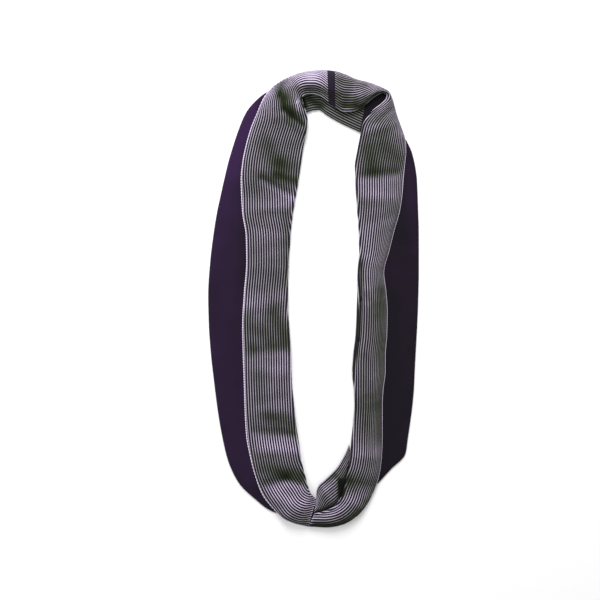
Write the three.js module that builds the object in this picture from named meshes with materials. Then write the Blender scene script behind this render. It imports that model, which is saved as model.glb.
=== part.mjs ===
import * as THREE from 'three';

// Infinity scarf laid flat: one wide ribbed knit band closed into a loop, folded
// lengthwise along the edge that faces the hole. The striped flap lies on top and
// the plain face of the under layer shows beside it. Below the flap the under layers
// of the limbs fill the hidden room, each as one rounded solid.
// Millimetres, +Z up, the floor at Z = 0, the long way of the loop along Y.

// Sizes in millimetres
const GRID = 1.7;            // one step of the plan tables
const MIDDLE_X = 313;        // plan step on the middle of the loop, across
const MIDDLE_Y = 298.5;      // plan step on the middle of the loop, lengthwise
const WALL = 2.4;            // thickness of the doubled knit
const SEAM = 0.4;            // gap between neighbouring stretches
const RIB_RISE = 0.7;        // how far a rib stands out of the wall
const RETURN = 7;            // tuck of the folded edge under the flap
const GROOVE_AT = 8.5;       // distance of the pleat groove from the folded edge
const GROOVE_REACH = 4.2;    // half width of the pleat groove
const LIP = 1.0;             // height of a flat layer at its very edge
const LIP_REACH = 3;         // distance over which a flat layer reaches its height
const LAID_GAP = 0.9;        // clearance between the flap and the layer it lies on
const FOOT_ROOM = 1.0;       // room between a raised layer's foot and the flap's border

// Shares and counts
const CROWN_AT = 0.46;       // place of the crown between folded edge and border
const FLAP_RIBS = 16;
const BULGE_RIBS = 8;
const JOIN_POINTS = 16;      // steps across the smooth join strip
const UNDER_RIBS = 8;
const TUCK_SHARE = 0.3;      // longest tuck as a share of the flap's width
const TUCK_POINTS = 4;       // points round the folded edge and along the tuck
const ROUND_EDGE = 2.4;      // exponent of a border that rounds down to the floor
const LAID_EDGE = 5;         // exponent of a border that lies on the under layer
const LAID_HEIGHT = 2.8;     // height of a border that lies on the under layer
const PATH_STEPS = 48;       // fine steps of a section before it is shared out
const RAISED_STEPS = 10;     // steps of an under layer below the flap
const MARGIN_STEPS = 4;      // steps of an under layer beside the flap

const FLAP_COLUMNS = [
  'innerX', 'innerY', 'outerX', 'outerY', 'base', 'roll', 'crown', 'edge', 'groove',
];
const LAYER_COLUMNS = ['innerX', 'innerY', 'outerX', 'outerY', 'height'];

// Folded edge, border and heights of the striped flap, up the left limb
const LEFT_FLAP = table(FLAP_COLUMNS, [
  [316.5, 498, 308, 526, 2.8, 9, 10, 0, 0],
  [311, 493, 297, 523.5, 2.8, 11, 18, 0, 0],
  [308.5, 487, 285, 518.5, 2.8, 9.5, 17, 2.8, 0],
  [306, 478, 273, 507, 0, 7, 12.5, 2.8, 0],
  [303.5, 469, 263, 494, 0, 8, 9.5, 2.8, 0],
  [301, 458, 256, 476, 0, 9, 12, 2.8, 0],
  [299.5, 446, 250.5, 455, 0, 7.5, 9.5, 2.8, 0],
  [297.5, 432, 247, 436, 0, 6.2, 7, 2.8, 0],
  [294.5, 410, 245.5, 412, 0, 6.4, 8.2, 2.8, 0],
  [292, 380, 244.5, 380, 0, 6.6, 9.2, 2.8, 0],
  [291, 352, 243.5, 352, 0, 6.2, 6.8, 2.8, 0],
  [289, 325, 243, 325, 0, 6.4, 8.5, 2.8, 0],
  [288, 295, 244.5, 295, 0, 6.4, 9, 2.8, 0],
  [289, 262, 247, 262, 0, 6.4, 9.4, 2.8, 0],
  [290.5, 236, 246.5, 236, 0, 6.4, 9.6, 2.8, 0],
  [293, 213, 243, 213, 0, 6.4, 9.2, 2.8, 0],
  [295.5, 198, 242, 197, 0, 6.2, 6.6, 2.8, 0],
  [298, 184, 241.5, 180, 0, 7, 9.5, 2.8, 0],
  [300.5, 166, 243.2, 162, 0, 8, 12, 2.8, 0],
  [303, 149, 246, 148, 0, 8.5, 12.5, 2.8, 0],
  [306, 134, 251, 130, 4, 11, 13.5, 2.8, 0],
  [307.5, 122, 257.5, 114, 5.8, 12.5, 15, 2.8, 0],
  [306.5, 113, 264, 99, 5.8, 13, 17.5, 2.8, 0],
  [304, 107, 273, 87.5, 5.8, 12, 14, 2.8, 0],
  [301.5, 102, 286, 78.5, 5.8, 11, 9.6, 0, 0],
]);

// The same columns over the top, from the left crease to the join
const ARCH_FLAP = table(FLAP_COLUMNS, [
  [301.5, 102, 286, 78.5, 5.8, 11, 9.6, 0, 0],
  [303, 98, 297, 73.8, 5.8, 12, 17, 0, 0],
  [307.5, 96, 307, 71.3, 5.8, 12, 20, 0, 0],
  [313, 95.8, 315.5, 70.5, 5.8, 12, 21, 0, 0],
  [320.5, 98, 321.5, 70.2, 5.8, 12, 21, 0, 0],
  [328.3, 103.5, 327.1, 70.3, 5.8, 12, 20, 0, 0],
]);

// The plain strip that closes the band into a loop
const JOIN = table(FLAP_COLUMNS, [
  [328.3, 103.5, 327.1, 70.3, 5.8, 12, 20, 0, 0],
  [335.3, 108.8, 334.7, 71.2, 5.8, 12, 19, 0, 0],
]);

// From the join round the tight turn to the head of the right limb
const SHOULDER_FLAP = table(FLAP_COLUMNS, [
  [335.3, 108.8, 334.7, 71.2, 5.8, 12, 19, 0, 0],
  [343.8, 113.5, 346, 74.8, 5.8, 12, 17, 0, 0],
  [351.4, 113.3, 356, 79.3, 5.8, 12, 17.5, 0, 0],
  [359.4, 110.3, 365, 81.6, 5.8, 12, 18.5, 0, 0],
  [366, 105.5, 373, 83.8, 5.8, 12, 18.5, 0, 0],
  [372, 100, 379, 86.2, 5.8, 12, 17.5, 0, 0],
  [378, 96, 384.5, 88.7, 5.8, 11.5, 15.5, 0, 0],
  [383, 94, 389, 91.6, 5.8, 11, 13.5, 0, 0],
  [385.6, 95.5, 391.4, 96.2, 5.8, 11, 12.5, 0, 0],
  [385, 99, 393.2, 101, 5.8, 11, 13, 0, 0],
  [380, 104.5, 394.8, 107, 5.8, 11, 13.5, 0, 0],
  [373, 110.5, 396.5, 113.5, 5.8, 11, 14, 0, 0],
  [367, 117.5, 399.3, 122, 5.8, 11, 14.5, 0, 0],
  [362.5, 125.5, 402.5, 131, 5.8, 11, 14.5, 0.8, 0],
  [360, 137, 405, 140, 4, 10, 13.5, 2.8, 0],
]);

// Down the right limb
const RIGHT_FLAP = table(FLAP_COLUMNS, [
  [360, 137, 405, 140, 4, 10, 13.5, 2.8, 0],
  [357, 152, 405.5, 152, 0, 8, 12, 2.8, 0],
  [354.8, 166, 404.2, 166, 0, 7, 9.5, 2.8, 0],
  [354.7, 178, 403, 178, 0, 6.2, 7, 2.8, 0],
  [355.8, 192, 402, 192, 0, 6.4, 9, 2.8, 0],
  [357, 210, 399.5, 210, 0, 6.6, 10, 2.8, 0],
  [358.5, 230, 394, 230, 0, 6.6, 10, 2.8, 0],
  [359, 250, 389, 250, 0, 6.6, 10, 2.8, 0],
  [357.5, 273, 383.5, 273, 0, 6.6, 10, 2.8, 0.6],
  [357, 292, 385.5, 290, 0, 7, 10, 2.8, 1.8],
  [356.5, 315, 387, 312, 0, 7.4, 10, 2.8, 2.6],
  [355.5, 335, 386.5, 335, 0, 7.4, 9.6, 2.8, 2.6],
  [353, 355, 385, 355, 0, 7.4, 9.4, 2.8, 2.6],
  [352, 370, 385, 370, 0, 7, 9.2, 2.8, 1.8],
  [353.5, 388, 383, 388, 0, 6.4, 9, 2.8, 0.4],
  [354.5, 404, 382, 403, 0, 6.4, 9, 2.8, 0],
  [353, 420, 382, 420, 0, 6.4, 9.2, 2.8, 0],
  [351.5, 436, 382, 437, 0, 7, 10, 2.8, 0],
  [350.5, 450, 381.5, 452, 2.8, 9, 12, 2.8, 0],
  [349, 464, 380, 468, 2.8, 10, 13, 2.8, 0],
  [346.5, 476, 376.5, 483, 2.8, 9.5, 11, 2.8, 0],
]);

// Across the bottom, from the right limb to the crease
const BOTTOM_FLAP = table(FLAP_COLUMNS, [
  [346.5, 476, 376.5, 483, 2.8, 9.5, 11, 2.8, 0],
  [344, 486, 372.5, 493, 2.8, 9, 9.5, 2.8, 0],
  [341.5, 495, 366, 505.5, 2.8, 10, 13.5, 0, 0],
  [337, 502, 356.5, 516, 2.8, 11, 17, 0, 0],
  [330, 507.5, 343, 524, 2.8, 11, 16, 0, 0],
  [322, 510.7, 327, 527, 2.8, 10, 13, 0, 0],
  [314, 513, 308, 526, 2.8, 9, 10, 0, 0],
]);

// The bulge between the bottom crease and the folded edge of the right limb
const BULGE = table(FLAP_COLUMNS, [
  [316.5, 498, 313.6, 512.3, 2.8, 9, 10, 2.8, 0],
  [316.3, 491, 321.7, 510, 2.8, 10, 14, 2.8, 0],
  [319, 484, 329.5, 506.8, 2.8, 10, 17, 2.8, 0],
  [324, 479.5, 336.3, 501.5, 2.8, 10, 17, 2.8, 0],
  [330, 474, 340.9, 494.6, 2.8, 10, 14, 2.8, 0],
  [336, 467, 343.4, 485.8, 2.8, 9.5, 12, 2.8, 0],
  [340.5, 459.5, 345.9, 475.8, 2.8, 9, 10.5, 2.8, 0],
  [344.5, 451.5, 348.4, 463.8, 2.8, 8.6, 9.5, 2.8, 0],
  [348.3, 444, 350, 451, 2.8, 8, 8, 2.8, 0],
]);

// The plain under layer of the left limb, each row in line with a row of the flap
const LEFT_UNDER = table(LAYER_COLUMNS, [
  [304.4, 492.4, 286.5, 516.5, WALL],
  [300.8, 482.6, 269.7, 509.9, WALL],
  [297.4, 472.8, 255.2, 498.8, WALL],
  [294.1, 460.7, 239, 482.8, WALL],
  [292.6, 447.3, 227.8, 459.2, WALL],
  [290.9, 432.5, 222.7, 437.9, WALL],
  [287.8, 410.3, 218.3, 413.1, WALL],
  [285.3, 380, 214, 380, WALL],
  [284.4, 352, 210.9, 352, WALL],
  [282.3, 325, 209, 325, WALL],
  [281.3, 295, 208.3, 295, WALL],
  [282.3, 262, 210.3, 262, WALL],
  [283.8, 236, 213.4, 236, WALL],
  [286.3, 213, 217, 213, WALL],
  [288.9, 197.9, 220.5, 196.6, WALL],
  [291.1, 183.5, 224.5, 178.8, WALL],
  [293.4, 165.5, 228.8, 161, WALL],
  [295.7, 148.9, 232.7, 147.8, WALL],
  [299.1, 133.5, 239, 129.1, WALL],
  [300.8, 120.9, 246.5, 112.2, WALL],
  [299.9, 110.8, 259.6, 97.5, WALL],
  [298.4, 103.5, 273.6, 87.9, WALL],
]);
const LEFT_UNDER_FIRST = 2;  // place in the flap's table of the row above the first one

// The plain under layer of the right limb, each row in line with a row of the flap,
// down to its slanting mitre fold
const RIGHT_UNDER = table(LAYER_COLUMNS, [
  [366.6, 137.4, 406, 140.1, WALL],
  [364.1, 152, 411.5, 152, WALL],
  [361.7, 166, 414.9, 166, WALL],
  [361.3, 178, 416.6, 178, WALL],
  [362.5, 192, 417.3, 192, WALL],
  [363.7, 210, 417.9, 210, WALL],
  [365.2, 230, 418.5, 230, WALL],
  [365.7, 250, 418.6, 250, WALL],
  [364.2, 273, 418.6, 273, WALL],
  [363.9, 291.5, 418.3, 287.7, WALL],
  [363.5, 314.3, 417.7, 309, WALL],
  [362.5, 335, 416.5, 335, WALL],
  [360, 355, 415.4, 355, WALL],
  [358.9, 370, 414.6, 370, WALL],
  [360.2, 388, 413.8, 388, WALL],
  [361.2, 403.8, 412.6, 401.9, WALL],
  [359.7, 420, 410.3, 420, WALL],
  [358.4, 436.2, 407.7, 437.8, WALL],
  [362.5, 450.8, 405.3, 453.4, WALL],
  [363, 465.8, 390.4, 469.3, WALL],
  [363.5, 480, 377.7, 483.3, WALL],
]);
const RIGHT_UNDER_FIRST = 0;

// The hidden under layer of the bottom, which carries bulge and flap
const BOTTOM_UNDER = table(LAYER_COLUMNS, [
  [306.5, 494.3, 288.4, 516, WALL],
  [308.5, 497.5, 298, 519.5, WALL],
  [313, 502, 309, 521.5, WALL],
  [318.8, 495, 322, 522, WALL],
  [321.5, 487, 336, 519, WALL],
  [328, 481, 348, 513.5, WALL],
  [334.5, 474.5, 356, 507, WALL],
  [341, 466, 361.5, 497, WALL],
  [346.5, 456.5, 361.3, 480, WALL],
]);

// The rounded under layer whose folded edge shows below the top of the loop
const ARCH_UNDER = table(LAYER_COLUMNS, [
  [305, 113.5, 301, 86, 5],
  [309, 111.8, 306, 81, 5.2],
  [314, 110.5, 313, 78, 5.2],
  [319, 110.3, 321, 77, 5.2],
  [326, 115, 331, 77, 5.2],
  [333, 119.3, 341, 81, 5.2],
  [341, 123.7, 351, 86, 5.2],
  [350, 128, 359, 93, 5],
  [359.5, 132.3, 365.5, 104, 5],
]);

// The plain face at the bottom of the pocket inside the tight turn
const POCKET = table(LAYER_COLUMNS, [
  [359.5, 132.3, 365.5, 104, 5.2],
  [370, 128, 373, 97.5, 5.2],
  [379, 121, 378, 93.5, 5.2],
  [386.5, 112, 383, 93.5, 5.2],
  [388.8, 104.5, 386, 95.5, 5.2],
]);

// A table as a list of rows that answer to their column names
function table(columns, rows) {
  return rows.map((row) => Object.fromEntries(columns.map((name, k) => [name, row[k]])));
}

// A plan step in millimetres
function planPoint(x, y) {
  return new THREE.Vector2((x - MIDDLE_X) * GRID, (MIDDLE_Y - y) * GRID);
}

// The middle line of a flap section as [distance from the folded edge, height],
// from the border over the crown and round the folded edge to the end of the tuck
function flapPath(row, width) {
  const half = WALL / 2;
  const radius = (row.roll - row.base - WALL) / 2;
  const turnU = half + radius;
  const turnZ = row.base + half + radius;
  const crownU = CROWN_AT * width;
  const crownZ = row.crown - half;
  const rollZ = row.roll - half;
  const span = width - half - crownU;
  const laid = row.edge / LAID_HEIGHT;
  const power = 2 / (ROUND_EDGE + (LAID_EDGE - ROUND_EDGE) * laid);
  const path = [];
  for (let k = 0; k <= PATH_STEPS; k += 1) {
    const angle = (Math.PI / 2) * (1 - k / PATH_STEPS);
    const share = Math.pow(Math.sin(angle), power);
    path.push([crownU + span * share, row.edge + (crownZ - row.edge) * Math.cos(angle)]);
  }
  for (let k = 1; k <= PATH_STEPS; k += 1) {
    const share = k / PATH_STEPS;
    const lift = (1 + Math.cos(Math.PI * share)) / 2;
    path.push([crownU + (turnU - crownU) * share, rollZ + (crownZ - rollZ) * lift]);
  }
  const visible = path.length + PATH_STEPS / 2;
  for (let k = 1; k <= PATH_STEPS; k += 1) {
    const angle = Math.PI / 2 + (Math.PI * k) / PATH_STEPS;
    path.push([turnU + radius * Math.cos(angle), turnZ + radius * Math.sin(angle)]);
  }
  path.push([turnU + Math.min(RETURN, TUCK_SHARE * width), row.base + half]);
  return { path: path.map((point) => grooved(point, row.groove)), visible };
}

// A path point lowered into the pleat groove beside the folded edge
function grooved([u, z], depth) {
  const away = (u - GROOVE_AT) / GROOVE_REACH;
  const upper = z > WALL ? 1 : 0;
  return [u, z - upper * depth * Math.exp(-away * away)];
}

// Evenly spaced points of a path with the outward normal at each
function sharedOut(path, count) {
  const lengths = [0];
  for (let k = 1; k < path.length; k += 1) {
    const step = Math.hypot(path[k][0] - path[k - 1][0], path[k][1] - path[k - 1][1]);
    lengths.push(lengths[k - 1] + step);
  }
  const total = lengths[path.length - 1];
  const points = [];
  let k = 1;
  for (let n = 0; n <= count; n += 1) {
    const reach = (total * n) / count;
    while (k < path.length - 1 && lengths[k] < reach) {
      k += 1;
    }
    const [u0, z0] = path[k - 1];
    const [u1, z1] = path[k];
    const step = lengths[k] - lengths[k - 1];
    const share = (reach - lengths[k - 1]) / step;
    points.push({
      u: u0 + (u1 - u0) * share,
      z: z0 + (z1 - z0) * share,
      outU: (z1 - z0) / step,
      outZ: (u0 - u1) / step,
    });
  }
  return points;
}

// Outer and inner line of a flap section in space, ribs raised in the outer one
function flapSection(row, ribs) {
  const inner = planPoint(row.innerX, row.innerY);
  const outer = planPoint(row.outerX, row.outerY);
  const across = outer.clone().sub(inner);
  const width = across.length();
  across.normalize();
  const { path, visible } = flapPath(row, width);
  const seen = sharedOut(path.slice(0, visible), ribs > 0 ? 2 * ribs : JOIN_POINTS);
  const tuck = sharedOut(path.slice(visible - 1), TUCK_POINTS).slice(1);
  const place = (point, side) => new THREE.Vector3(
    inner.x + across.x * (point.u + point.outU * side),
    inner.y + across.y * (point.u + point.outU * side),
    point.z + point.outZ * side,
  );
  const rise = (index) => (ribs > 0 && index < seen.length && index % 2 === 1 ? RIB_RISE : 0);
  const points = seen.concat(tuck);
  return {
    front: points.map((point, index) => place(point, WALL / 2 - RIB_RISE / 2 + rise(index))),
    back: points.map((point) => place(point, -WALL / 2)),
  };
}

// Top and bottom line of a flat layer that rests on the floor
function layerSection(row, ribs) {
  const inner = planPoint(row.innerX, row.innerY);
  const outer = planPoint(row.outerX, row.outerY);
  const across = outer.clone().sub(inner);
  const width = across.length();
  across.normalize();
  const lip = Math.min(LIP_REACH, width / 4);
  const steps = Math.max(2 * ribs, 2);
  const stations = [0, lip / 4];
  for (let k = 0; k <= steps; k += 1) {
    stations.push(lip + ((width - 2 * lip) * k) / steps);
  }
  stations.push(width - lip / 4, width);
  const height = (u, index) => {
    const share = Math.min(u / lip, (width - u) / lip, 1);
    const rounded = Math.sqrt(1 - (1 - share) * (1 - share));
    const raised = ribs > 0 && index % 2 === 1 && share === 1;
    return LIP + (row.height - LIP) * rounded - (raised ? RIB_RISE : 0);
  };
  const place = (u, z) => new THREE.Vector3(inner.x + across.x * u, inner.y + across.y * u, z);
  return {
    front: stations.map((u, index) => place(u, height(u, index))),
    back: stations.map((u) => place(u, 0)),
  };
}

// Height of the flap's inside, less the laid gap, at a distance from its folded edge
function insideHeight(row, width, reach) {
  const { path } = flapPath(row, width);
  const k = path.findIndex(([u]) => u <= reach);
  const [u0, z0] = path[k - 1];
  const [u1, z1] = path[k];
  const slope = (z1 - z0) / (u1 - u0);
  return z0 + slope * (reach - u0) - (WALL / 2 + LAID_GAP) * Math.hypot(1, slope);
}

// Evenly spaced distances from one to another, both included
function evenly(from, to, steps) {
  return Array.from({ length: steps + 1 }, (unused, k) => from + ((to - from) * k) / steps);
}

// Section of an under layer that fills the room below the flap and runs out flat
function raisedSection(row, over) {
  const fold = planPoint(over.innerX, over.innerY);
  const flapWidth = planPoint(over.outerX, over.outerY).distanceTo(fold);
  const inner = planPoint(row.innerX, row.innerY);
  const outer = planPoint(row.outerX, row.outerY);
  const start = inner.distanceTo(fold);
  const across = outer.clone().sub(inner);
  const width = across.length();
  across.normalize();
  const lip = Math.min(LIP_REACH, width / 4);
  const foot = Math.min(flapWidth - WALL - FOOT_ROOM - start, width - 2 * lip);
  const stations = [0, lip / 4].concat(
    evenly(lip, foot, RAISED_STEPS),
    evenly(foot, width - lip, MARGIN_STEPS).slice(1),
    [width - lip / 4, width],
  );
  const footIndex = RAISED_STEPS + 2;
  const height = (u, index) => {
    const share = Math.min(u / lip, (width - u) / lip, 1);
    const rounded = Math.sqrt(1 - (1 - share) * (1 - share));
    const inside = index < footIndex ? insideHeight(over, flapWidth, start + u) : 0;
    return LIP + (Math.max(row.height, inside) - LIP) * rounded;
  };
  const place = (u, z) => new THREE.Vector3(inner.x + across.x * u, inner.y + across.y * u, z);
  return {
    front: stations.map((u, index) => place(u, height(u, index))),
    back: stations.map((u) => place(u, 0)),
  };
}

// Draws the two end sections in, so that neighbouring stretches stay apart
function drawnIn(sections) {
  const pull = (section, towards) => {
    const middle = Math.floor(section.back.length / 2);
    const way = towards.back[middle].clone().sub(section.back[middle]).setZ(0);
    way.setLength(SEAM / 2);
    const moved = (points) => points.map((point) => point.clone().add(way));
    return { front: moved(section.front), back: moved(section.back) };
  };
  const last = sections.length - 1;
  return sections.map((section, k) => {
    if (k === 0) {
      return pull(section, sections[1]);
    }
    return k === last ? pull(section, sections[last - 1]) : section;
  });
}

// One closed body through a row of sections
function bodyThrough(sections) {
  const count = sections[0].front.length;
  const rings = sections.map(({ front, back }) => front.concat(back.slice().reverse()));
  const ring = 2 * count;
  const positions = rings.flat().flatMap((point) => [point.x, point.y, point.z]);
  const faces = [];
  for (let i = 0; i < rings.length - 1; i += 1) {
    for (let j = 0; j < ring; j += 1) {
      const next = (j + 1) % ring;
      const a = i * ring + j;
      const b = i * ring + next;
      faces.push(a, b, b + ring, a, b + ring, a + ring);
    }
  }
  const end = (rings.length - 1) * ring;
  for (let j = 0; j < count - 1; j += 1) {
    const k = ring - 1 - j;
    faces.push(j, k, j + 1, j + 1, k, k - 1);
    faces.push(end + j, end + j + 1, end + k, end + j + 1, end + k - 1, end + k);
  }
  if (enclosedVolume(positions, faces) < 0) {
    faces.reverse();
  }
  const geometry = new THREE.BufferGeometry();
  geometry.setAttribute('position', new THREE.Float32BufferAttribute(positions, 3));
  geometry.setIndex(faces);
  geometry.computeVertexNormals();
  return geometry;
}

// Six times the volume inside a set of triangles, negative when they face inward
function enclosedVolume(positions, faces) {
  const point = (index) => new THREE.Vector3().fromArray(positions, 3 * index);
  let sum = 0;
  for (let k = 0; k < faces.length; k += 3) {
    sum += point(faces[k]).dot(point(faces[k + 1]).cross(point(faces[k + 2])));
  }
  return sum;
}

// A named stretch of cloth
function stretch(name, sections, colour) {
  const material = new THREE.MeshStandardMaterial({ color: colour, roughness: 0.95 });
  const mesh = new THREE.Mesh(bodyThrough(drawnIn(sections)), material);
  mesh.name = name;
  return mesh;
}

const STRIPED = 0x77707e;
const PLAIN = 0x2c2034;
const STRIP = 0x31283a;

const flap = (rows) => rows.map((row) => flapSection(row, FLAP_RIBS));
const plainFlap = (rows) => rows.map((row) => flapSection(row, 0));
const layer = (rows, ribs) => rows.map((row) => layerSection(row, ribs));
const raised = (rows, over, first) => rows.map((row, k) => raisedSection(row, over[first + k]));

const scarf = new THREE.Group();
scarf.name = 'infinity_scarf';
scarf.add(stretch('left_flap', flap(LEFT_FLAP), STRIPED));
scarf.add(stretch('arch_flap', flap(ARCH_FLAP), STRIPED));
scarf.add(stretch('join_strip', plainFlap(JOIN), STRIP));
scarf.add(stretch('shoulder_flap', flap(SHOULDER_FLAP), STRIPED));
scarf.add(stretch('right_flap', flap(RIGHT_FLAP), STRIPED));
scarf.add(stretch('bottom_flap', flap(BOTTOM_FLAP), STRIPED));
scarf.add(stretch('bottom_bulge', BULGE.map((row) => flapSection(row, BULGE_RIBS)), STRIPED));
scarf.add(stretch('arch_under', layer(ARCH_UNDER, UNDER_RIBS), STRIPED));
scarf.add(stretch('turn_pocket', layer(POCKET, 0), PLAIN));
scarf.add(stretch('left_under', raised(LEFT_UNDER, LEFT_FLAP, LEFT_UNDER_FIRST), PLAIN));
scarf.add(stretch('right_under', raised(RIGHT_UNDER, RIGHT_FLAP, RIGHT_UNDER_FIRST), PLAIN));
scarf.add(stretch('bottom_under', layer(BOTTOM_UNDER, 0), PLAIN));

export default scarf;
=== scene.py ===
"""Infinity scarf laid flat on a pale surface: a striped, ribbed knit band with a plain
purple inner face, closed into a loop and folded lengthwise. Metres, +Z up."""

import math

import bmesh
import bpy
import numpy as np
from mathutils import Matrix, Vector, noise


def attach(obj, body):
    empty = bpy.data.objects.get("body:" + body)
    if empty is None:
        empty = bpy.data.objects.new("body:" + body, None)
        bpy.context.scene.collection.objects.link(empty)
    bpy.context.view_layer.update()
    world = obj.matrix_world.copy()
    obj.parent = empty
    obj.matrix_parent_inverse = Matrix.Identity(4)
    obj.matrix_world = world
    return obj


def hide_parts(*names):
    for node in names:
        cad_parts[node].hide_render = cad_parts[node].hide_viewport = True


bl_info = {
    "name": "Infinity scarf",
    "version": (1, 0, 0),
    "blender": (4, 5, 0),
    "location": "View3D > Sidebar > Scarf",
    "description": "Builds a striped infinity scarf laid flat",
    "category": "Add Mesh",
}

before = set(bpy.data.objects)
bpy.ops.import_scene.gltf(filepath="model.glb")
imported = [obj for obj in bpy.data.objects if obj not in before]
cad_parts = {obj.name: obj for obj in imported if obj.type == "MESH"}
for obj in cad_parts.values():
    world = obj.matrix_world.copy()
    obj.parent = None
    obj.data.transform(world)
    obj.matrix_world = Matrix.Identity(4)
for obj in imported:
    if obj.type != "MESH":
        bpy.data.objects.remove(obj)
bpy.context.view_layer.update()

# Plan tables are in grid steps; a step in metres and the step on the middle of the loop
GRID = 0.0017
MIDDLE_X = 313.0
MIDDLE_Y = 298.5
MM = 0.001

# Section of the folded flap as in the solids, in millimetres; TUCK_SHARE and CROWN_AT
# are shares of its width, and ROUND_EDGE and LAID_EDGE are exponents of its border
WALL = 2.4
TUCK = 7.0
TUCK_SHARE = 0.3
GROOVE_AT = 8.5
GROOVE_REACH = 4.2
CROWN_AT = 0.46
ROUND_EDGE = 2.4
LAID_EDGE = 5.0
LAID_HEIGHT = 2.8
RIB_RISE = 0.7
LIP = 1.0
LIP_REACH = 3.0

# Of the cloth here alone, in millimetres: a seam narrow enough to show no gap and the
# first row inside it, the least height over the surface, the most that a rib rises (as
# a share of its pitch), how far creases fade out before border and fold, and the reach
# of a point's normal
SEAM = 0.06
SEAM_ROW = 0.3
LEAST_HEIGHT = 0.02
RIB_SLOPE = 0.2
CREASE_FROM_BORDER = 12.0
CREASE_FROM_FOLD = 9.0
NORMAL_REACH = 0.35

# Toothed selvedge: length of a tooth and how far out and how high it lies, all in
# millimetres, the share of its radius left between two teeth, its sides, and its rows
TOOTH = 4.2
TOOTH_OUT = 0.2
TOOTH_LIFT = 1.3
TOOTH_WAIST = 0.3
TOOTH_SIDES = 6
TOOTH_ROWS = 8

# Points of a flap section: from border to crown, from crown to fold, round the fold
# and along the tuck, then the fine points that place the ribs, and how sharply spare
# ribs crowd at the border
BORDER_POINTS = 60
INNER_POINTS = 40
BEND_POINTS = 40
TUCK_POINTS = 12
RUN_POINTS = 200
SQUEEZE_POWER = 5

# Spacing of cross sections in millimetres, where it is not the step of the settings,
# and points across the under layers
JOIN_STEP = 1.5
BULGE_STEP = 2.5
UNDER_STEP = 5.0
ARCH_UNDER_STEP = 3.0
UNDER_POINTS = 26
ARCH_UNDER_POINTS = 97

# Ribs of the bulge, which runs narrower than the flap, and of the lower layers
BULGE_RIBS = 12
BULGE_PITCH = 4.0
BULGE_POINTS_A_RIB = 8
LOWER_PITCH = 4.25

FLAP_COLUMNS = (
    "inner_x", "inner_y", "outer_x", "outer_y", "base", "roll", "crown", "edge", "groove",
)
LAYER_COLUMNS = ("inner_x", "inner_y", "outer_x", "outer_y", "height")

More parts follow.
